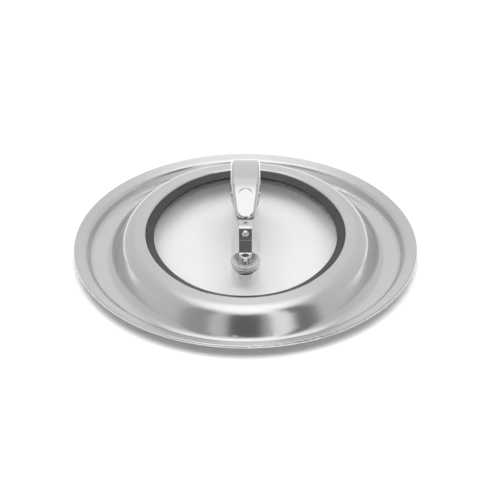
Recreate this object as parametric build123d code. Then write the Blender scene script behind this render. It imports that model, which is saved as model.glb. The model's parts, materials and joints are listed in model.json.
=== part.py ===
from build123d import *
import math
import os

# Window lid for a round cooking pot, with a bow handle and a sprung clip lever.
# Millimetres. +Z is up, the lid lies as it does on a table: the underside of the sunken ring is Z = 0.
# The origin is under the centre of the lid. The bow handle runs along Y, its front end towards -Y.

# ---- lid sheet: a round pan whose middle rises as an oval neck ----
SHEET = 0.9               # thickness of the pressed steel sheet
LID_RADIUS = 120.0        # outside of the rolled bead
BEAD_RADIUS = 1.1         # half thickness of the rolled bead
BEAD_HEIGHT = 7.8         # height of the bead's centre
RIM_INNER_RADIUS = 111.3  # where the sloping rim turns down into the sunken ring
RIM_INNER_HEIGHT = 7.2
RIM_OUTER_HEIGHT = 8.85   # top of the rim where it meets the bead
WELL_RADIUS = 108.3       # foot of the sunken ring's outer wall
WELL_BEND = 3.5
RIM_BEND = 3.8
FLOOR_LAP = 98.1          # how far out the neck's sheet laps onto the ring's floor
FLOOR_LAP_DEPTH = 0.1     # the neck's foot lies this far inside the floor, so the sheets cross cleanly

# The neck, the seal and the glass are offsets of one four-arc oval.
# Outlines are drawn as half widths along X. The half length along Y is OVAL_EXTRA more.
OVAL_EXTRA = 10.0
ARC_SHIFT = OVAL_EXTRA / (2 - math.sqrt(2))   # distance of the four arc centres from the origin

NECK_FOOT = 93.6          # where the neck's slanted wall would meet the floor
NECK_WALL_ANGLE = 60.0    # slope of the neck's wall
NECK_FOOT_BEND = 7.6
SHOULDER_BEND = 11.3
CROWN_ANGLE = 6.0         # slope of the neck's top
LIP_HALF_WIDTH = 69.4     # window opening
LIP_HEIGHT = 20.2
LIP_BEND = 1.5
COLLAR_BOTTOM = 13.2      # lower end of the turned-down collar round the opening

# ---- window ----
GLASS_TOP = 16.2
GLASS_THICKNESS = 4.0
GLASS_HALF_WIDTH = 67.4
GLASS_HOLE_RADIUS = 3.7
SEAL_TOP = 19.4
SEAL_INNER_HALF_WIDTH = 63.9
SEAL_INNER_TOP = 16.9
SEAL_LOWER_HALF_WIDTH = 66.4   # the lower lip is narrower and stays hidden
SEAL_BOTTOM = 9.8
SEAL_LEDGE = 1.7          # how far the seal reaches out under the collar

# ---- handle feet, one at each end of the window ----
FOOT_Y = 38.8
FOOT_GASKET = 0.6
FOOT_GASKET_RADIUS = 9.0
COLLAR_RADIUS = 8.2
BASE_RADIUS = 9.3         # bevelled disc that stands on the gasket
BASE_SIDE = 0.3
BASE_BEVEL = 0.65         # height of the bevel between the disc's side and the collar
FLANGE_RADIUS = 10.1
FLANGE_BOTTOM = 19.15
FLANGE_TOP = 21.75
FLANGE_EDGE = 0.35        # rounding of the flange's top edge
SCREW_RADIUS = 2.5
SCREW_HOLE_RADIUS = 2.65
SCREW_HEAD_RADIUS = 3.8
SCREW_HEAD_HEIGHT = 1.9
SOCKET_FLATS = 3.0
SOCKET_DEPTH = 1.2
UNDER_GASKET_RADIUS = 5.0
UNDER_GASKET = 1.2
SLEEVE_RADIUS = 3.6
WASHER_RADIUS = 6.0
WASHER = 1.0
LOCK_WASHER_RADIUS = 4.5
LOCK_WASHER = 1.1
NUT_FLATS = 8.0
NUT_HEIGHT = 4.0
NUT_CHAMFER = 0.8         # how far the nut's corners stand out past its round face
NUT_CHAMFER_HEIGHT = 0.5
SCREW_END = 0.7           # screw end below the nut
# Heights of the stack under the glass.
WASHER_TOP = GLASS_TOP - GLASS_THICKNESS - UNDER_GASKET
LOCK_TOP = WASHER_TOP - WASHER
NUT_TOP = LOCK_TOP - LOCK_WASHER
NUT_BOTTOM = NUT_TOP - NUT_HEIGHT

# ---- bow: two brackets and a strap, all cut from one flat bar ----
BAR = 1.5                 # bar thickness
BAR_WIDTH = 8.8
LEG_RISE = 58.0           # slope of each leg
LEG_BASE_Y = 33.0         # a point on the joint face between bracket and strap
LEG_BASE_Z = 24.5
BRIDGE_TOP = 39.7
BRACKET_END = 14.3        # upper end of the bracket, measured along the leg
STRAP_END = 7.5           # lower end of the strap, measured along the leg
RIVET_ALONG = 12.25       # rivet, measured along the leg
RIVET_RADIUS = 1.25
RIVET_HEAD_RADIUS = 2.3
RIVET_DOME = 1.0
RIVET_BACK = 0.6
BRACKET_BEND = 2.2
STRAP_BEND = 2.0
BRIDGE_HOLE_Y = 20.3
BRIDGE_HOLE_RADIUS = 1.7
BRIDGE_HALF_WIDTH = 7.0   # half width of the bridge at the pivot
BRIDGE_WIDE_END = 8.0     # the bridge narrows from here...
BRIDGE_NARROW_END = 22.5  # ...to the bar's own width here
STRAP_END_EDGE = 0.6      # rounding of the strap's ends

# ---- pivot ----
PIVOT_Y = 9.0
PIVOT_Z = 44.3
PIN_RADIUS = 1.5
PIN_HEAD_RADIUS = 2.1
PIN_HEAD = 0.4            # thickness of the pin's spread ends
PIN_HEAD_FACE = 9.95      # inner face of the pin's spread ends
RUNNING_GAP = 0.05        # radial clearance of the lever on its pin
SADDLE_SHEET = 1.2
SADDLE_HALF_WIDTH = 7.0
SADDLE_FRONT = 2.0
SADDLE_BACK = 16.0
EAR_RADIUS = 3.0
SADDLE_RIVET_OFFSET = 4.4

# ---- lever ----
LEVER_SHEET = 1.2
LEVER_HALF_WIDTH = 10.35
LEVER_EDGE = 2.4          # outer radius of the lever's pressed edges
TIP_Y = -15.8
TIP_TOP = 41.2
TIP_RADIUS = 7.4          # round end of the tongue
TIP_GAP = 0.35            # rest gap between the tongue's tip and the bridge
WIDE_FROM_Y = 15.0        # the lever has its full width behind this line
TAIL_Y = 48.5
TAIL_CORNER = 3.5
# The lever's top is a gentle arch: it starts at the tip and changes slope at each of these lines.
ARCH_SLOPES = [25.5, 9.0, -5.5, -19.0]   # degrees
ARCH_LINES = [3.5, 22.0, 39.0]           # Y of the changes of slope
ARCH_BENDS = [52.0, 64.0, 60.0]          # bend radii at the changes of slope
TONGUE_SKIRT = 2.2        # depth of the turned-down edge along the tongue
BODY_SKIRT = 4.6          # depth of the turned-down edge along the body
TAIL_SKIRT = 3.2          # depth of the turned-down edge along the tail
LUG_RADIUS = 3.6
SCOOP_HALF_WIDTH = 4.8    # pressed thumb scoop in the tongue
SCOOP_TOP_Y = 6.4
SCOOP_FOOT_Y = -10.0
SCOOP_DEPTH = 0.6
MARK_RADIUS = 0.5         # two punch marks beside the pivot
MARK_X = 7.7
MARK_DEPTH = 0.5

# ---- spring ----
COIL_RADIUS = 2.3
WIRE_RADIUS = 0.3
COIL_TURNS = 6
SPRING_TOP = 51.0
POST_RADIUS = 1.6
POST_TOP = 3.2
POST_HEAD_RADIUS = 2.6
POST_HEAD = 0.8


# ---------------------------------------------------------------- helpers
def outline(corners, plane=Plane.XY):
    """Closed face from (x, y, bend radius) corners."""
    points = [(x, y) for x, y, radius in corners]
    radii = [radius for x, y, radius in corners]
    return plane * make_face(FilletPolyline(*points, radius=radii, close=True))


def shifted_path(points, gap):
    """The same open path moved sideways by gap: positive is to the left of its direction."""
    directions = []
    for (x0, y0), (x1, y1) in zip(points, points[1:]):
        length = math.hypot(x1 - x0, y1 - y0)
        directions.append(((x1 - x0) / length, (y1 - y0) / length))
    shifted = []
    for index, (x, y) in enumerate(points):
        before = directions[max(index - 1, 0)]
        after = directions[min(index, len(directions) - 1)]
        normal_x = -(before[1] + after[1])
        normal_y = before[0] + after[0]
        scale = gap / (1 + before[0] * after[0] + before[1] * after[1])
        shifted.append((x + normal_x * scale, y + normal_y * scale))
    return shifted


def bent_sheet(points, bends, thickness):
    """Corners of a bent sheet: the given face, and the other face thickness away (left if positive)."""
    other = shifted_path(points, thickness)
    other_bends = []
    for a, b, c, bend in zip(points, points[1:], points[2:], bends):
        turn = (b[0] - a[0]) * (c[1] - b[1]) - (b[1] - a[1]) * (c[0] - b[0])
        other_bends.append(bend - math.copysign(1, turn) * thickness)
    near = [(x, y, radius) for (x, y), radius in zip(points, [0, *bends, 0])]
    far = [(x, y, radius) for (x, y), radius in zip(other, [0, *other_bends, 0])]
    return near + far[::-1]


def along(x, y, angle, length):
    """The point length away from (x, y) in a direction given in degrees."""
    return x + length * math.cos(math.radians(angle)), y + length * math.sin(math.radians(angle))


def spun(corners):
    """Full ring from (radius, height, bend) corners."""
    return revolve(outline(corners, Plane.XZ), Axis.Z, 360)


def oval_ring(corners):
    """Ring along the four-arc oval, from (half width, height, bend) corners."""
    ring = None
    for quarter in range(4):
        on_side = quarter % 2 == 0
        reach = ARC_SHIFT if on_side else OVAL_EXTRA - ARC_SHIFT
        centre_distance = -ARC_SHIFT if on_side else ARC_SHIFT
        section = outline([(x + reach, z, bend) for x, z, bend in corners], Plane.XZ)
        sector = revolve(section.rotate(Axis.Z, -45), Axis.Z, 90)
        sector = Pos(centre_distance, 0, 0) * sector
        sector = sector.rotate(Axis.Z, 90 * quarter)
        ring = sector if ring is None else ring + sector
    return ring


def oval_plate(half_width, bottom, top):
    """Solid oval plate."""
    side_radius = half_width + ARC_SHIFT
    end_radius = half_width + OVAL_EXTRA - ARC_SHIFT
    arcs = [
        CenterArc((-ARC_SHIFT, 0), side_radius, -45, 90),
        CenterArc((0, ARC_SHIFT), end_radius, 45, 90),
        CenterArc((ARC_SHIFT, 0), side_radius, 135, 90),
        CenterArc((0, -ARC_SHIFT), end_radius, 225, 90),
    ]
    return Pos(0, 0, bottom) * extrude(make_face(arcs), top - bottom)


def upright(radius, bottom, top, x=0.0, y=0.0):
    """Vertical round bar."""
    return Pos(x, y, (bottom + top) / 2) * Cylinder(radius, top - bottom)


def crosswise(radius, left, right, y, z):
    """Round bar along X."""
    return Pos((left + right) / 2, y, z) * Rot(0, 90, 0) * Cylinder(radius, right - left)


def extruded_across(corners, half_width):
    """Side view given in (y, z, bend) corners, made as wide as the part along X."""
    return extrude(outline(corners, Plane.YZ), half_width, both=True)


def both_ends(shape):
    """The shape and its mirror image at the other end of the handle."""
    return Compound(children=[shape, mirror(shape, about=Plane.XZ)])


# ---------------------------------------------------------------- lid
def neck_path(foot_height):
    """The neck's outer face from the floor to the lip, as (half width, height) points."""
    foot = (NECK_FOOT, foot_height)
    slope = math.tan(math.radians(NECK_WALL_ANGLE))
    crown = math.tan(math.radians(CROWN_ANGLE))
    run = (LIP_HEIGHT + crown * (LIP_HALF_WIDTH - NECK_FOOT) - foot_height) / (slope - crown)
    shoulder = (NECK_FOOT - run, foot_height + slope * run)
    lip = (LIP_HALF_WIDTH, LIP_HEIGHT)
    return foot, shoulder, lip


def make_lid_shell():
    bead_centre = LID_RADIUS - BEAD_RADIUS
    inner_edge = LIP_HALF_WIDTH + 5
    pan_path = [
        (inner_edge, SHEET),
        (WELL_RADIUS, SHEET),
        (RIM_INNER_RADIUS, RIM_INNER_HEIGHT),
        (bead_centre, RIM_OUTER_HEIGHT),
    ]
    pan_section = outline(bent_sheet(pan_path, [WELL_BEND, RIM_BEND], -SHEET))
    pan_section += Pos(bead_centre, BEAD_HEIGHT) * Circle(BEAD_RADIUS)
    pan = revolve(Plane.XZ * pan_section, Axis.Z, 360)

    foot, shoulder, lip = neck_path(SHEET - FLOOR_LAP_DEPTH)
    outside = [
        (lip[0], 0, 0),
        (FLOOR_LAP, 0, 0),
        (FLOOR_LAP, foot[1], 0),
        (*foot, NECK_FOOT_BEND),
        (*shoulder, SHOULDER_BEND),
        (*lip, LIP_BEND),
    ]
    outer_path = [(FLOOR_LAP + 5, foot[1]), foot, shoulder, lip, (lip[0], COLLAR_BOTTOM)]
    inner = shifted_path(outer_path, SHEET)
    hollow = [
        (lip[0] - 10, -5, 0),
        (inner[0][0], -5, 0),
        (*inner[0], 0),
        (*inner[1], NECK_FOOT_BEND + SHEET),
        (*inner[2], SHOULDER_BEND - SHEET),
        (*inner[3], LIP_BEND - SHEET),
        (*inner[4], 0),
        (lip[0] - 10, COLLAR_BOTTOM, 0),
    ]
    return pan + oval_ring(outside) - oval_ring(hollow)


def make_window_seal():
    groove = GLASS_HALF_WIDTH
    glass_bottom = GLASS_TOP - GLASS_THICKNESS
    ledge = LIP_HALF_WIDTH + SEAL_LEDGE
    return oval_ring([
        (LIP_HALF_WIDTH, SEAL_TOP, 0.3),
        (SEAL_INNER_HALF_WIDTH, SEAL_INNER_TOP, 0.5),
        (SEAL_INNER_HALF_WIDTH, GLASS_TOP, 0),
        (groove, GLASS_TOP, 0),
        (groove, glass_bottom, 0),
        (SEAL_LOWER_HALF_WIDTH, glass_bottom, 0),
        (SEAL_LOWER_HALF_WIDTH, SEAL_BOTTOM, 0.5),
        (ledge, SEAL_BOTTOM, 0.5),
        (ledge, COLLAR_BOTTOM, 0),
        (LIP_HALF_WIDTH, COLLAR_BOTTOM, 0),
    ])


def make_window_glass():
    glass = oval_plate(GLASS_HALF_WIDTH, GLASS_TOP - GLASS_THICKNESS, GLASS_TOP)
    for y in (-FOOT_Y, FOOT_Y):
        glass -= upright(GLASS_HOLE_RADIUS, 0, GLASS_TOP + 1, y=y)
    return glass


# ---------------------------------------------------------------- feet and their fasteners
def make_foot():
    """Turned foot: a bevelled disc on the glass, a collar and a wide flange that carries the bracket."""
    base = GLASS_TOP + FOOT_GASKET
    foot = spun([
        (SCREW_HOLE_RADIUS, base, 0),
        (BASE_RADIUS, base, 0),
        (BASE_RADIUS, base + BASE_SIDE, 0.1),
        (COLLAR_RADIUS, base + BASE_SIDE + BASE_BEVEL, 0.2),
        (COLLAR_RADIUS, FLANGE_BOTTOM, 0.3),
        (FLANGE_RADIUS, FLANGE_BOTTOM, 0.3),
        (FLANGE_RADIUS, FLANGE_TOP, FLANGE_EDGE),
        (SCREW_HOLE_RADIUS, FLANGE_TOP, 0),
    ])
    return Pos(0, -FOOT_Y, 0) * foot


def ring_at_foot(outer, inner, bottom, top):
    """Flat ring round the front foot's screw."""
    return upright(outer, bottom, top, y=-FOOT_Y) - upright(inner, bottom - 1, top + 1, y=-FOOT_Y)


def make_foot_gasket():
    return ring_at_foot(FOOT_GASKET_RADIUS, SCREW_HOLE_RADIUS, GLASS_TOP, GLASS_TOP + FOOT_GASKET)


def make_under_gasket():
    """Soft disc under the glass, with a sleeve that keeps the screw off the glass."""
    glass_bottom = GLASS_TOP - GLASS_THICKNESS
    disc = ring_at_foot(UNDER_GASKET_RADIUS, SCREW_HOLE_RADIUS, glass_bottom - UNDER_GASKET, glass_bottom)
    sleeve = ring_at_foot(SLEEVE_RADIUS, SCREW_HOLE_RADIUS, glass_bottom, GLASS_TOP - 0.1)
    return disc + sleeve


def make_under_washer():
    return ring_at_foot(WASHER_RADIUS, SCREW_HOLE_RADIUS, LOCK_TOP, WASHER_TOP)


def make_lock_washer():
    """Split spring washer."""
    ring = ring_at_foot(LOCK_WASHER_RADIUS, SCREW_HOLE_RADIUS, NUT_TOP, LOCK_TOP)
    slit = Pos(LOCK_WASHER_RADIUS - 1, -FOOT_Y, LOCK_TOP) * Rot(30, 0, 0) * Box(4, 0.6, 8)
    return ring - slit


def make_foot_nut():
    """Hexagon nut with chamfered corners."""
    hexagon = extrude(RegularPolygon(NUT_FLATS / 2, 6, major_radius=False), NUT_HEIGHT)
    corner_cone = spun([
        (0, 0, 0),
        (NUT_FLATS / 2, 0, 0),
        (NUT_FLATS / 2 + NUT_CHAMFER, NUT_CHAMFER_HEIGHT, 0),
        (NUT_FLATS / 2 + NUT_CHAMFER, NUT_HEIGHT - NUT_CHAMFER_HEIGHT, 0),
        (NUT_FLATS / 2, NUT_HEIGHT, 0),
        (0, NUT_HEIGHT, 0),
    ])
    nut = (hexagon & corner_cone) - upright(SCREW_RADIUS, -1, NUT_HEIGHT + 1)
    return Pos(0, -FOOT_Y, NUT_BOTTOM) * nut


def make_foot_screw():
    """Low round-headed screw with a hexagon socket."""
    head_bottom = FLANGE_TOP + BAR
    head_top = head_bottom + SCREW_HEAD_HEIGHT
    screw = spun([
        (0, head_top, 0),
        (SCREW_HEAD_RADIUS - 0.5, head_top, 1.0),
        (SCREW_HEAD_RADIUS, head_bottom, 0),
        (SCREW_RADIUS, head_bottom, 0),
        (SCREW_RADIUS, NUT_BOTTOM - SCREW_END + 0.4, 0),
        (SCREW_RADIUS - 0.4, NUT_BOTTOM - SCREW_END, 0),
        (0, NUT_BOTTOM - SCREW_END, 0),
    ])
    socket = extrude(RegularPolygon(SOCKET_FLATS / 2, 6, major_radius=False), SOCKET_DEPTH + 1)
    screw -= Pos(0, 0, head_top - SOCKET_DEPTH) * socket
    return Pos(0, -FOOT_Y, 0) * screw


# ---------------------------------------------------------------- bow
def leg_point(distance):
    """Point on the front leg's joint face, in (y, z)."""
    return along(-LEG_BASE_Y, LEG_BASE_Z, LEG_RISE, distance)


def rivet_place(lift):
    """Location on the front leg's rivet axis, lift outward from the joint face, with Z along the axis."""
    y, z = leg_point(RIVET_ALONG)
    outward_y = -math.sin(math.radians(LEG_RISE))
    outward_z = math.cos(math.radians(LEG_RISE))
    origin = (0, y + lift * outward_y, z + lift * outward_z)
    return Plane(origin=origin, z_dir=(0, outward_y, outward_z)).location


def rivet_hole():
    """Cutter for the front strap rivet."""
    return rivet_place(0) * Cylinder(RIVET_RADIUS, 8 * BAR)


def make_front_bracket():
    tab_top = FLANGE_TOP + BAR
    tab_end = -FOOT_Y - BAR_WIDTH / 2
    corner_distance = (tab_top - LEG_BASE_Z) / math.sin(math.radians(LEG_RISE))
    path = [(tab_end, tab_top), leg_point(corner_distance), leg_point(BRACKET_END)]
    bracket = extruded_across(bent_sheet(path, [BRACKET_BEND], -BAR), BAR_WIDTH / 2)
    plan = upright(BAR_WIDTH / 2, 0, BRIDGE_TOP, y=-FOOT_Y)
    plan += Pos(0, -FOOT_Y + 15, BRIDGE_TOP / 2) * Box(BAR_WIDTH, 30, BRIDGE_TOP)
    bracket = bracket & plan
    bracket -= upright(SCREW_HOLE_RADIUS, 0, tab_top + 1, y=-FOOT_Y)
    return bracket - rivet_hole()


def strap_plan():
    """Plan of the strap: as narrow as the bar at the legs, wider at the pivot."""
    narrow = BAR_WIDTH / 2
    far = FOOT_Y + BAR_WIDTH
    right = [
        (narrow, far, 0),
        (narrow, BRIDGE_NARROW_END, 60),
        (BRIDGE_HALF_WIDTH, BRIDGE_WIDE_END, 60),
    ]
    lower_right = [(x, -y, bend) for x, y, bend in right[::-1]]
    left = [(-x, -y, bend) for x, y, bend in right + lower_right]
    return outline(right + lower_right + left)


def make_bow_strap():
    underside = BRIDGE_TOP - BAR
    corner_distance = (underside - LEG_BASE_Z) / math.sin(math.radians(LEG_RISE))
    front = [leg_point(STRAP_END), leg_point(corner_distance)]
    back = [(-y, z) for y, z in front[::-1]]
    strap = extruded_across(bent_sheet(front + back, [STRAP_BEND, STRAP_BEND], BAR), BRIDGE_HALF_WIDTH)
    outer_end_edges = strap.edges().filter_by(Axis.X).group_by(Axis.Z)[1]
    strap = fillet(outer_end_edges, STRAP_END_EDGE)
    strap = strap & extrude(strap_plan(), 2 * BRIDGE_TOP)
    for y in (-BRIDGE_HOLE_Y, BRIDGE_HOLE_Y):
        strap -= upright(BRIDGE_HOLE_RADIUS, underside - 1, BRIDGE_TOP + 1, y=y)
    for y in saddle_rivet_places():
        strap -= upright(RIVET_RADIUS, underside - 1, BRIDGE_TOP + 1, y=y)
    hole = rivet_hole()
    return strap - hole - mirror(hole, about=Plane.XZ)


def rivet(grip, dome_radius):
    """Rivet along Z: its shank spans the grip down from Z = 0, its dome stands on Z = 0."""
    shank = upright(RIVET_RADIUS, -grip, 0)
    ball = (dome_radius ** 2 + RIVET_DOME ** 2) / (2 * RIVET_DOME)
    dome = Pos(0, 0, RIVET_DOME - ball) * Sphere(ball)
    dome = dome & upright(dome_radius, 0, RIVET_DOME + 1)
    back = upright(dome_radius, -grip - RIVET_BACK, -grip)
    return shank + dome + back


def make_strap_rivet():
    return rivet_place(BAR) * rivet(2 * BAR, RIVET_HEAD_RADIUS)


# ---------------------------------------------------------------- pivot
def saddle_rivet_places():
    return PIVOT_Y - SADDLE_RIVET_OFFSET, PIVOT_Y + SADDLE_RIVET_OFFSET


def make_pivot_saddle():
    """Sheet saddle on the bridge: a base and two upright ears that hold the pin."""
    ear_top = PIVOT_Z + EAR_RADIUS
    body = extruded_across([
        (SADDLE_FRONT, BRIDGE_TOP, 0),
        (SADDLE_BACK, BRIDGE_TOP, 0),
        (SADDLE_BACK, BRIDGE_TOP + 2.0, 0.5),
        (PIVOT_Y + EAR_RADIUS, ear_top, 2.4),
        (PIVOT_Y - EAR_RADIUS, ear_top, 2.4),
        (SADDLE_FRONT, BRIDGE_TOP + 2.0, 0.5),
    ], SADDLE_HALF_WIDTH)
    body = fillet(body.edges().filter_by(Axis.Y).group_by(Axis.Z)[0], SADDLE_SHEET + 0.4)
    slot_height = 20.0
    floor = BRIDGE_TOP + SADDLE_SHEET
    slot = Pos(0, PIVOT_Y, floor + slot_height / 2)
    slot *= Box(2 * (SADDLE_HALF_WIDTH - SADDLE_SHEET), 40, slot_height)
    slot = fillet(slot.edges().filter_by(Axis.Y).group_by(Axis.Z)[0], 0.4)
    body -= slot
    body -= crosswise(PIN_RADIUS, -20, 20, PIVOT_Y, PIVOT_Z)
    for y in saddle_rivet_places():
        body -= upright(RIVET_RADIUS, BRIDGE_TOP - 1, floor + 1, y=y)
    return body


def make_saddle_rivets():
    place = BRIDGE_TOP + SADDLE_SHEET
    rivets = [Pos(0, y, place) * rivet(SADDLE_SHEET + BAR, RIVET_HEAD_RADIUS) for y in saddle_rivet_places()]
    return Compound(children=rivets)


def make_pivot_pin():
    """Pin with spread ends, just outside the lever's lugs."""
    pin = crosswise(PIN_RADIUS, -PIN_HEAD_FACE, PIN_HEAD_FACE, PIVOT_Y, PIVOT_Z)
    for side in (-1, 1):
        near, far = sorted((side * PIN_HEAD_FACE, side * (PIN_HEAD_FACE + PIN_HEAD)))
        head = crosswise(PIN_HEAD_RADIUS, near, far, PIVOT_Y, PIVOT_Z)
        outer_edge = head.edges().filter_by(GeomType.CIRCLE).sort_by(Axis.X)[0 if side < 0 else -1]
        pin += fillet(outer_edge, PIN_HEAD - 0.1)
    return pin


# ---------------------------------------------------------------- lever
def lever_plan(inset):
    """Plan outline of the lever, drawn in by inset: round tip, tapered tongue, wide body."""
    tip = TIP_RADIUS - inset
    wide = LEVER_HALF_WIDTH - inset
    tip_centre = TIP_Y + TIP_RADIUS
    tail = TAIL_Y - inset
    # The tongue's sides touch the round tip and meet the wide body.
    reach = WIDE_FROM_Y - tip_centre
    side_turn = math.atan2(reach, wide) - math.acos(tip / math.hypot(wide, reach))
    touch_x, touch_y = along(0, tip_centre, math.degrees(side_turn), tip)
    right = [(touch_x, touch_y, 0), (wide, WIDE_FROM_Y, 30), (wide, tail, TAIL_CORNER - inset)]
    left = [(-x, y, bend) for x, y, bend in right[::-1]]
    return outline([*right, *left]) + Pos(0, tip_centre) * Circle(tip)


def lever_arch():
    """Corners of the lever's top in the side view, in (y, z), from the tip to beyond the tail."""
    points = [(TIP_Y, TIP_TOP)]
    for slope, y in zip(ARCH_SLOPES, [*ARCH_LINES, TAIL_Y + LEVER_EDGE]):
        last_y, last_z = points[-1]
        points.append((y, last_z + (y - last_y) * math.tan(math.radians(slope))))
    return points


def arch_height(y, drop):
    """Height drop below the lever's top at one of its changes of slope."""
    heights = dict(lever_arch())
    return heights[y] - drop


def lever_block(inset, edge):
    """Solid under the lever's top, drawn in by inset on the sides and on top."""
    path = shifted_path(lever_arch(), -inset)
    start = along(*path[0], ARCH_SLOPES[0] - 180, 20)
    end = along(*path[-1], ARCH_SLOPES[-1], 20)
    floor = 10.0
    arch = [(y, z, bend - inset) for (y, z), bend in zip(path[1:-1], ARCH_BENDS)]
    side = extruded_across([
        (*start, 0),
        *arch,
        (*end, 0),
        (end[0], floor, 0),
        (start[0], floor, 0),
    ], 2 * LEVER_HALF_WIDTH)
    block = extrude(lever_plan(inset), 80) & side
    top_edges = [
        edge_line for edge_line in block.edges()
        if edge_line.center().Z > floor + 25
        and not is_upright(edge_line)
        and not crosses(edge_line, inset)
    ]
    return fillet(top_edges, edge)


def is_upright(edge_line):
    """True for the plan outline's vertical seams."""
    box = edge_line.bounding_box()
    return box.size.X < 0.01 and box.size.Y < 0.01


def crosses(edge_line, inset):
    """True for the lines across the top between its flat and curved stretches."""
    box = edge_line.bounding_box()
    inside_tail = edge_line.center().Y < TAIL_Y - inset - 0.1
    return inside_tail and box.size.Y < 0.01 and box.size.Z < 0.01 and box.size.X > TIP_RADIUS - inset


def make_clip_lever():
    shell = lever_block(0, LEVER_EDGE) - lever_block(LEVER_SHEET, LEVER_EDGE - LEVER_SHEET)
    rise = ARCH_SLOPES[0]
    front = along(TIP_Y, TIP_TOP, rise - 90, TONGUE_SKIRT)
    tip_bottom = BRIDGE_TOP + TIP_GAP
    tip_end = along(*front, rise, (tip_bottom - front[1]) / math.sin(math.radians(rise)))
    lug_bottom = PIVOT_Z - LUG_RADIUS
    ahead_of_lug = PIVOT_Y - LUG_RADIUS - 0.4
    behind_lug = PIVOT_Y + LUG_RADIUS + 0.6
    tail_fall = math.tan(math.radians(ARCH_SLOPES[-1]))
    beyond = TAIL_Y + 10
    tail_bottom = arch_height(ARCH_LINES[2], TAIL_SKIRT)
    kept = extruded_across([
        (front[0] - 10, tip_bottom, 0),
        (*tip_end, 3),
        (*along(*front, rise, 16), 6),
        (ahead_of_lug, lug_bottom, 3),
        (behind_lug, lug_bottom, 3.5),
        (ARCH_LINES[1], arch_height(ARCH_LINES[1], BODY_SKIRT), 14),
        (ARCH_LINES[2], tail_bottom, 14),
        (beyond, tail_bottom + tail_fall * (beyond - ARCH_LINES[2]), 0),
        (beyond, 2 * PIVOT_Z, 0),
        (front[0] - 10, 2 * PIVOT_Z, 0),
    ], 2 * LEVER_HALF_WIDTH)
    lever = shell & kept
    lever -= crosswise(PIN_RADIUS + RUNNING_GAP, -20, 20, PIVOT_Y, PIVOT_Z)
    return lever - thumb_scoop() - punch_marks()


def thumb_scoop():
    """Cutter for the shallow pressed arch on the tongue, deepest at its round top."""
    arch = Pos(0, SCOOP_TOP_Y - SCOOP_HALF_WIDTH) * Circle(SCOOP_HALF_WIDTH)
    length = SCOOP_TOP_Y - SCOOP_HALF_WIDTH - SCOOP_FOOT_Y
    arch += Pos(0, SCOOP_FOOT_Y + length / 2) * Rectangle(2 * SCOOP_HALF_WIDTH, length)
    arch = extrude(arch, 80)
    foot = (SCOOP_FOOT_Y, TIP_TOP + (SCOOP_FOOT_Y - TIP_Y) * math.tan(math.radians(ARCH_SLOPES[0])))
    top = (SCOOP_TOP_Y, tongue_height(SCOOP_TOP_Y) - SCOOP_DEPTH)
    above = extruded_across([
        (*foot, 0),
        (*top, 0),
        (top[0], top[1] + 25, 0),
        (foot[0], top[1] + 25, 0),
    ], 2 * SCOOP_HALF_WIDTH)
    return arch & above


def tongue_height(y):
    """Height of the arch near its first bend: a circle that touches the tongue and the body."""
    corner_y, corner_z = lever_arch()[1]
    half_turn = math.radians(ARCH_SLOPES[0] - ARCH_SLOPES[1]) / 2
    middle = math.radians(ARCH_SLOPES[0] + ARCH_SLOPES[1]) / 2
    reach = ARCH_BENDS[0] / math.cos(half_turn)
    centre_y = corner_y + reach * math.sin(middle)
    centre_z = corner_z - reach * math.cos(middle)
    return centre_z + math.sqrt(ARCH_BENDS[0] ** 2 - (y - centre_y) ** 2)


def punch_marks():
    """Cutters for the two punch marks beside the pivot."""
    bottom = tongue_height(PIVOT_Y) - MARK_DEPTH
    marks = [upright(MARK_RADIUS, bottom, bottom + 5, x=x, y=PIVOT_Y) for x in (-MARK_X, MARK_X)]
    return Compound(children=marks)


# ---------------------------------------------------------------- spring
def make_lever_spring():
    """Coil spring between the bridge and the underside of the lever."""
    bottom = BRIDGE_TOP + WIRE_RADIUS
    height = SPRING_TOP - WIRE_RADIUS - bottom
    helix = Helix(pitch=height / COIL_TURNS, height=height, radius=COIL_RADIUS)
    wire = Plane(origin=helix @ 0, z_dir=helix % 0) * Circle(WIRE_RADIUS)
    return Pos(0, BRIDGE_HOLE_Y, bottom) * sweep(wire, path=helix, is_frenet=True)


def make_spring_post():
    """Headed post through the bridge that keeps the spring in place."""
    post = upright(POST_RADIUS, BRIDGE_TOP - BAR, BRIDGE_TOP + POST_TOP)
    post = fillet(post.edges().group_by(Axis.Z)[-1], 0.5)
    post += upright(BRIDGE_HOLE_RADIUS, BRIDGE_TOP - BAR, BRIDGE_TOP)
    post += upright(POST_HEAD_RADIUS, BRIDGE_TOP - BAR - POST_HEAD, BRIDGE_TOP - BAR)
    return Pos(0, BRIDGE_HOLE_Y, 0) * post


# ---------------------------------------------------------------- output
def main():
    front_foot = make_foot()
    front_bracket = make_front_bracket()
    nodes = {
        "lid_shell": make_lid_shell(),
        "window_seal": make_window_seal(),
        "window_glass": make_window_glass(),
        "front_foot": front_foot,
        "rear_foot": mirror(front_foot, about=Plane.XZ),
        "foot_gaskets": both_ends(make_foot_gasket()),
        "under_gaskets": both_ends(make_under_gasket()),
        "under_washers": both_ends(make_under_washer()),
        "lock_washers": both_ends(make_lock_washer()),
        "foot_nuts": both_ends(make_foot_nut()),
        "foot_screws": both_ends(make_foot_screw()),
        "front_bracket": front_bracket,
        "rear_bracket": mirror(front_bracket, about=Plane.XZ),
        "bow_strap": make_bow_strap(),
        "strap_rivets": both_ends(make_strap_rivet()),
        "pivot_saddle": make_pivot_saddle(),
        "saddle_rivets": make_saddle_rivets(),
        "pivot_pin": make_pivot_pin(),
        "lever_spring": make_lever_spring(),
        "spring_post": make_spring_post(),
        "clip_lever": make_clip_lever(),
    }
    os.makedirs("parts", exist_ok=True)
    for name, shape in nodes.items():
        export_step(shape, f"parts/{name}.step")


main()
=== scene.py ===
import json
import math

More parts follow.
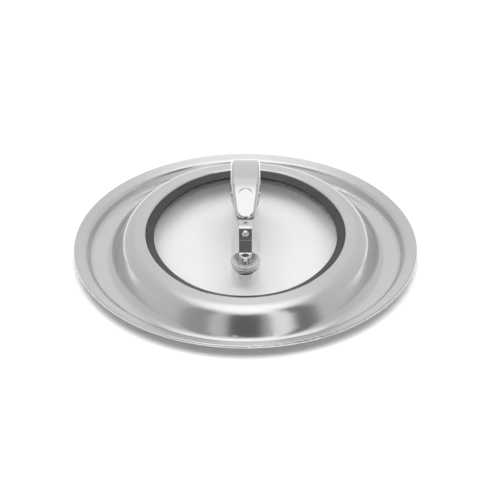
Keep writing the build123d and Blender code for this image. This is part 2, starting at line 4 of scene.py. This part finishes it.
import bpy
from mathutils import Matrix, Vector


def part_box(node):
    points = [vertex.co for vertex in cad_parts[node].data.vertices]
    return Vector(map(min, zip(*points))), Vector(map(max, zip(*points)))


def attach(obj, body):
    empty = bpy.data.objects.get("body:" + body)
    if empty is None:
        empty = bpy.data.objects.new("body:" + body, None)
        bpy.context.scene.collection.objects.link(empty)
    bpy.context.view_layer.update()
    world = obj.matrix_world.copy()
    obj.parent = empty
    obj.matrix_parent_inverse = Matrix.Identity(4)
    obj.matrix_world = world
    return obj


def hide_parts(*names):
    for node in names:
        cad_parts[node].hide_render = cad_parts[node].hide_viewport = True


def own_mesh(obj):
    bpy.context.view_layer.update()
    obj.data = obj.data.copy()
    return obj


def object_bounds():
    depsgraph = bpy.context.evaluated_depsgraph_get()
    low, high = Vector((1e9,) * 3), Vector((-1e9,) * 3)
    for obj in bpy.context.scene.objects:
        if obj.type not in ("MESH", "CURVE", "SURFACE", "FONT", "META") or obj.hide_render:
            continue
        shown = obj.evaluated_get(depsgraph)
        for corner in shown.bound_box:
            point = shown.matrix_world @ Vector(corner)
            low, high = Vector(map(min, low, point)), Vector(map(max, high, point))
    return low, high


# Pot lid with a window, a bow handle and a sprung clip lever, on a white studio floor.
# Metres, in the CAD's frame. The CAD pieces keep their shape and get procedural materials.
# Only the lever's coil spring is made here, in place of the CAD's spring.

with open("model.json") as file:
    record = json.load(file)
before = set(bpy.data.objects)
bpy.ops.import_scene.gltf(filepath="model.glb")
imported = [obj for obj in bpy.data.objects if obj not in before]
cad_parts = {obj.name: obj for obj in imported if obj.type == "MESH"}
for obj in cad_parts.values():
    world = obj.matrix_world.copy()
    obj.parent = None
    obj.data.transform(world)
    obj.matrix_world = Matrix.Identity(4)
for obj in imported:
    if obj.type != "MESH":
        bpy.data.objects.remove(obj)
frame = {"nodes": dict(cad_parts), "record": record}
cad_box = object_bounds()
nodes = frame["nodes"]
scene = bpy.context.scene


# ---------------------------------------------------------------- material helpers
ACROSS_LINES = 0.25       # a quarter turn: highlights stretch across the brush lines
NOISE_LOW = 0.3           # most noise values lie between these two
NOISE_HIGH = 0.7


def new_material(name):
    """A material with its node tree and its shader."""
    material = bpy.data.materials.new(name)
    material.use_nodes = True
    tree = material.node_tree
    return material, tree, tree.nodes["Principled BSDF"]


def math_node(tree, operation, *inputs):
    """Output of a math node. An input is a number or another node's output."""
    node = tree.nodes.new("ShaderNodeMath")
    node.operation = operation
    for socket, value in zip(node.inputs, inputs):
        if isinstance(value, bpy.types.NodeSocket):
            tree.links.new(value, socket)
        else:
            socket.default_value = value
    return node.outputs["Value"]


def noise(tree, scale, detail=4.0, roughness=0.5, stretch=(1, 1, 1), vector=None):
    """Noise in object space, or along the given coordinates, stretched along the axes."""
    if vector is None:
        vector = tree.nodes.new("ShaderNodeTexCoord").outputs["Object"]
    mapping = tree.nodes.new("ShaderNodeMapping")
    mapping.inputs["Scale"].default_value = stretch
    texture = tree.nodes.new("ShaderNodeTexNoise")
    texture.inputs["Scale"].default_value = scale
    texture.inputs["Detail"].default_value = detail
    texture.inputs["Roughness"].default_value = roughness
    tree.links.new(vector, mapping.inputs["Vector"])
    tree.links.new(mapping.outputs["Vector"], texture.inputs["Vector"])
    return texture.outputs["Fac"]


def remap(tree, value, low, high, source_low=NOISE_LOW, source_high=NOISE_HIGH):
    """Value brought to the range from low to high."""
    node = tree.nodes.new("ShaderNodeMapRange")
    node.inputs["From Min"].default_value = source_low
    node.inputs["From Max"].default_value = source_high
    node.inputs["To Min"].default_value = low
    node.inputs["To Max"].default_value = high
    tree.links.new(value, node.inputs["Value"])
    return node.outputs["Result"]


def two_tones(tree, shader, factor, first, second):
    """Base colour that wanders between two colours."""
    tone = tree.nodes.new("ShaderNodeMix")
    tone.data_type = "RGBA"
    tone.inputs["A"].default_value = (*first, 1)
    tone.inputs["B"].default_value = (*second, 1)
    tree.links.new(remap(tree, factor, 0.0, 1.0), tone.inputs["Factor"])
    tree.links.new(tone.outputs["Result"], shader.inputs["Base Color"])


def add_bump(tree, shader, height, strength, distance):
    bump = tree.nodes.new("ShaderNodeBump")
    bump.inputs["Strength"].default_value = strength
    bump.inputs["Distance"].default_value = distance
    tree.links.new(height, bump.inputs["Height"])
    tree.links.new(bump.outputs["Normal"], shader.inputs["Normal"])


def ring_coordinates(tree):
    """(radius, angle, height) of a point about the Z axis, for lines that run round the lid."""
    coords = tree.nodes.new("ShaderNodeTexCoord")
    parts = tree.nodes.new("ShaderNodeSeparateXYZ")
    tree.links.new(coords.outputs["Object"], parts.inputs["Vector"])
    flat = tree.nodes.new("ShaderNodeCombineXYZ")
    tree.links.new(parts.outputs["X"], flat.inputs["X"])
    tree.links.new(parts.outputs["Y"], flat.inputs["Y"])
    radius = tree.nodes.new("ShaderNodeVectorMath")
    radius.operation = "LENGTH"
    tree.links.new(flat.outputs["Vector"], radius.inputs[0])
    joined = tree.nodes.new("ShaderNodeCombineXYZ")
    tree.links.new(radius.outputs["Value"], joined.inputs["X"])
    tree.links.new(math_node(tree, "ARCTAN2", parts.outputs["Y"], parts.outputs["X"]), joined.inputs["Y"])
    tree.links.new(parts.outputs["Z"], joined.inputs["Z"])
    return joined.outputs["Vector"]


# ---------------------------------------------------------------- materials
def brushed_steel(name, grey, roughness, stretch, around=False):
    """Steel with fine brush lines. stretch is small along the lines and large across them.

    Around the lid the lines are rings, and they also spread the highlights outwards.
    """
    material, tree, shader = new_material(name)
    shader.inputs["Metallic"].default_value = 1.0
    shader.inputs["Anisotropic Rotation"].default_value = ACROSS_LINES
    vector = None
    if around:
        shader.inputs["Anisotropic"].default_value = 0.5
        tangent = tree.nodes.new("ShaderNodeTangent")
        tangent.direction_type = "RADIAL"
        tangent.axis = "Z"
        tree.links.new(tangent.outputs["Tangent"], shader.inputs["Tangent"])
        vector = ring_coordinates(tree)
    lines = noise(tree, scale=60.0, detail=5.0, roughness=0.6, stretch=stretch, vector=vector)
    cloud = noise(tree, scale=25.0, detail=3.0)
    tree.links.new(remap(tree, lines, roughness * 0.85, roughness * 1.2), shader.inputs["Roughness"])
    two_tones(tree, shader, cloud, [value * 0.96 for value in grey], grey)
    add_bump(tree, shader, lines, strength=0.25, distance=0.00002)
    return material


def silicone(name, grey, roughness):
    """Matt moulded silicone with a faint grain and paler scuffs."""
    material, tree, shader = new_material(name)
    grain = noise(tree, scale=900.0, detail=3.0)
    scuff = noise(tree, scale=60.0)
    two_tones(tree, shader, scuff, [grey] * 3, [grey * 1.5] * 3)
    tree.links.new(remap(tree, grain, roughness * 0.9, roughness * 1.1), shader.inputs["Roughness"])
    add_bump(tree, shader, grain, strength=0.2, distance=0.00003)
    return material


def clear_glass(name):
    """Toughened soda glass: clear, faintly green, with very slight waviness."""
    material, tree, shader = new_material(name)
    shader.inputs["Base Color"].default_value = (0.998, 1.0, 0.999, 1)
    shader.inputs["Transmission Weight"].default_value = 1.0
    shader.inputs["IOR"].default_value = 1.5
    shader.inputs["Roughness"].default_value = 0.0
    wave = noise(tree, scale=14.0, detail=2.0)
    add_bump(tree, shader, wave, strength=0.05, distance=0.0002)
    return material


def floor_white(name):
    """Plain white studio floor with a barely visible grain."""
    material, tree, shader = new_material(name)
    grain = noise(tree, scale=40.0)
    tone = tree.nodes.new("ShaderNodeCombineColor")
    shade = remap(tree, grain, 0.895, 0.905)
    for channel in ("Red", "Green", "Blue"):
        tree.links.new(shade, tone.inputs[channel])
    tree.links.new(tone.outputs["Color"], shader.inputs["Base Color"])
    tree.links.new(remap(tree, grain, 0.85, 0.95), shader.inputs["Roughness"])
    return material


by_slot = {
    "lid_steel": brushed_steel("lid_steel", (0.64, 0.64, 0.635), 0.18, (90, 1.2, 60), around=True),
    "lever_steel": brushed_steel("lever_steel", (0.61, 0.61, 0.605), 0.13, (30, 3, 30)),
    "bar_steel": brushed_steel("bar_steel", (0.62, 0.62, 0.615), 0.16, (3, 30, 30)),
    "foot_steel": brushed_steel("foot_steel", (0.62, 0.62, 0.615), 0.16, (30, 30, 3)),
    "fastener_steel": brushed_steel("fastener_steel", (0.66, 0.66, 0.66), 0.10, (8, 8, 8)),
    "spring_steel": brushed_steel("spring_steel", (0.50, 0.50, 0.51), 0.22, (10, 10, 10)),
    "window_glass": clear_glass("window_glass"),
    "seal_rubber": silicone("seal_rubber", 0.020, 0.45),
    "gasket_rubber": silicone("gasket_rubber", 0.025, 0.50),
}
for part in frame["record"]["subparts"]:
    for mesh_slot in nodes[part["node"]].material_slots:
        mesh_slot.material = by_slot[part["material_slot"]]


# ---------------------------------------------------------------- lever spring
SPRING_Y = 0.0203
COIL_RADIUS = 0.0023
WIRE_RADIUS = 0.0003
COIL_TURNS = 6
STEPS_PER_TURN = 40
WIRE_SIDES = 12


def coil_points():
    """Rings of points along the wire, as tall as the CAD's spring."""
    low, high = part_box("lever_spring")
    bottom = low[2] + WIRE_RADIUS
    rise = high[2] - low[2] - 2 * WIRE_RADIUS
    climb = rise / (2 * math.pi * COIL_TURNS * COIL_RADIUS)
    steps = STEPS_PER_TURN * COIL_TURNS
    points = []
    for step in range(steps + 1):
        turn = 2 * math.pi * COIL_TURNS * step / steps
        outward = Vector((math.cos(turn), math.sin(turn), 0))
        forward = Vector((-math.sin(turn), math.cos(turn), climb)).normalized()
        upward = outward.cross(forward)
        centre = Vector((0, SPRING_Y, bottom + rise * step / steps)) + outward * COIL_RADIUS
        for side in range(WIRE_SIDES):
            around = 2 * math.pi * side / WIRE_SIDES
            points.append(centre + (outward * math.cos(around) + upward * math.sin(around)) * WIRE_RADIUS)
    return points


def coil_faces():
    """Faces between the rings of points, and the wire's two ends."""
    steps = STEPS_PER_TURN * COIL_TURNS
    faces = []
    for step in range(steps):
        first = step * WIRE_SIDES
        second = first + WIRE_SIDES
        for side in range(WIRE_SIDES):
            after = (side + 1) % WIRE_SIDES
            faces.append((first + side, first + after, second + after, second + side))
    last = steps * WIRE_SIDES
    faces.append(tuple(reversed(range(WIRE_SIDES))))
    faces.append(tuple(range(last, last + WIRE_SIDES)))
    return faces


def add_spring():
    """The coil as one wire, carried with the lid in place of the CAD's spring."""
    faces = coil_faces()
    mesh = bpy.data.meshes.new("spring_coil")
    mesh.from_pydata(coil_points(), [], faces)
    mesh.polygons.foreach_set("use_smooth", [True] * len(faces))
    mesh.materials.append(by_slot["spring_steel"])
    coil = bpy.data.objects.new("spring_coil", mesh)
    scene.collection.objects.link(coil)
    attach(coil, "lid")
    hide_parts("lever_spring")
    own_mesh(coil)


add_spring()


# ---------------------------------------------------------------- floor and light
FLOOR_REACH = 6.0
FLOOR_GAP = 0.0001        # the floor lies just under the lid

FILL_CENTRE = (0, 0.3, 1.6)
FILL_WIDTH = 2.4
FILL_DEPTH = 2.0
FILL_RADIANCE = 2.2

# Brightness of the studio walls by angle in degrees from the front, positive to the right.
WALL_LIGHT = [
    (-180, 0.95),
    (-160, 0.80),
    (-90, 0.725),
    (-68, 0.69),
    (-52, 0.42),
    (-38, 0.40),
    (-28, 0.74),
    (-20, 0.66),
    (-12, 0.15),
    (10, 0.15),
    (20, 0.50),
    (28, 1.10),
    (38, 1.15),
    (50, 0.20),
    (60, 0.24),
    (76, 0.71),
    (160, 0.80),
    (180, 0.95),
]
CEILING_LIGHT = 1.55
CEILING_START = 42.0      # degrees above the horizon
CEILING_FULL = 78.0
CEILING_SIDE_DROP = 0.20  # the ceiling starts higher up at the sides


def add_floor():
    reach = FLOOR_REACH
    corners = [(-reach, -reach, 0), (reach, -reach, 0), (reach, reach, 0), (-reach, reach, 0)]
    mesh = bpy.data.meshes.new("floor")
    mesh.from_pydata(corners, [], [(0, 1, 2, 3)])
    mesh.materials.append(floor_white("floor_white"))
    floor = bpy.data.objects.new("floor", mesh)
    scene.collection.objects.link(floor)
    floor.location.z = cad_box[0][2] - FLOOR_GAP


def add_fill():
    """Large soft light overhead, which the steel doesn't mirror. An area light faces down unturned."""
    light = bpy.data.lights.new("fill", "AREA")
    light.shape = "RECTANGLE"
    light.size = FILL_WIDTH
    light.size_y = FILL_DEPTH
    light.energy = FILL_RADIANCE * FILL_WIDTH * FILL_DEPTH * math.pi
    lamp = bpy.data.objects.new("fill", light)
    scene.collection.objects.link(lamp)
    lamp.location = FILL_CENTRE
    lamp.visible_glossy = False


def set_wall_stops(ramp):
    """Grey stops of a colour ramp that goes once round the studio, from the back to the back."""
    ramp.interpolation = "EASE"
    ramp.elements.remove(ramp.elements[-1])
    for degrees, _ in WALL_LIGHT[1:]:
        ramp.elements.new((degrees + 180) / 360)
    for stop, (_, value) in zip(ramp.elements, WALL_LIGHT):
        stop.color = (value, value, value, 1)


def add_world():
    """Studio seen by the lid: light walls, a dark front with two pale panels, and a bright ceiling."""
    world = bpy.data.worlds.new("studio")
    scene.world = world
    world.use_nodes = True
    tree = world.node_tree
    background = tree.nodes["Background"]
    coords = tree.nodes.new("ShaderNodeTexCoord")
    parts = tree.nodes.new("ShaderNodeSeparateXYZ")
    tree.links.new(coords.outputs["Generated"], parts.inputs["Vector"])

    forward = math_node(tree, "MULTIPLY", parts.outputs["Y"], -1.0)
    angle = math_node(tree, "ARCTAN2", parts.outputs["X"], forward)
    walls = tree.nodes.new("ShaderNodeValToRGB")
    set_wall_stops(walls.color_ramp)
    tree.links.new(remap(tree, angle, 0.0, 1.0, -math.pi, math.pi), walls.inputs["Fac"])

    sideways = math_node(tree, "ABSOLUTE", parts.outputs["X"])
    height = math_node(tree, "MULTIPLY_ADD", sideways, -CEILING_SIDE_DROP, parts.outputs["Z"])
    ceiling = tree.nodes.new("ShaderNodeMapRange")
    ceiling.interpolation_type = "SMOOTHSTEP"
    ceiling.inputs["From Min"].default_value = math.sin(math.radians(CEILING_START))
    ceiling.inputs["From Max"].default_value = math.sin(math.radians(CEILING_FULL))
    tree.links.new(height, ceiling.inputs["Value"])

    blend = tree.nodes.new("ShaderNodeMix")
    blend.data_type = "RGBA"
    blend.inputs["B"].default_value = (CEILING_LIGHT, CEILING_LIGHT, CEILING_LIGHT, 1)
    tree.links.new(walls.outputs["Color"], blend.inputs["A"])
    tree.links.new(ceiling.outputs["Result"], blend.inputs["Factor"])
    tree.links.new(blend.outputs["Result"], background.inputs["Color"])
    background.inputs["Strength"].default_value = 1.0


add_floor()
add_world()
add_fill()


# ---------------------------------------------------------------- camera
CAMERA_ELEVATION = 34.43  # degrees above the floor, looking along +Y
CAMERA_DISTANCE = 1.5
CAMERA_TARGET = Vector((0, 0, 0.0093))
CAMERA_RIGHT = 0.00315    # the camera stands this far to the right of its line to the target...
CAMERA_UP = -0.00497      # ...and this far up, so the lid sits slightly off the picture's middle
SENSOR_WIDTH = 36.0
FOCAL_LENGTH = 154.34


def add_camera():
    """Long lens, looking down at the lid from the tongue's end."""
    elevation = math.radians(CAMERA_ELEVATION)
    backwards = Vector((0, -math.cos(elevation), math.sin(elevation)))
    up = Vector((0, math.sin(elevation), math.cos(elevation)))
    camera = bpy.data.cameras.new("camera")
    camera.sensor_width = SENSOR_WIDTH
    camera.lens = FOCAL_LENGTH
    holder = bpy.data.objects.new("camera", camera)
    scene.collection.objects.link(holder)
    offset = Vector((1, 0, 0)) * CAMERA_RIGHT + up * CAMERA_UP
    holder.location = CAMERA_TARGET + backwards * CAMERA_DISTANCE + offset
    holder.rotation_euler = (-backwards).to_track_quat("-Z", "Y").to_euler()
    scene.camera = holder


add_camera()
scene.view_settings.view_transform = "Standard"
scene.view_settings.look = "None"
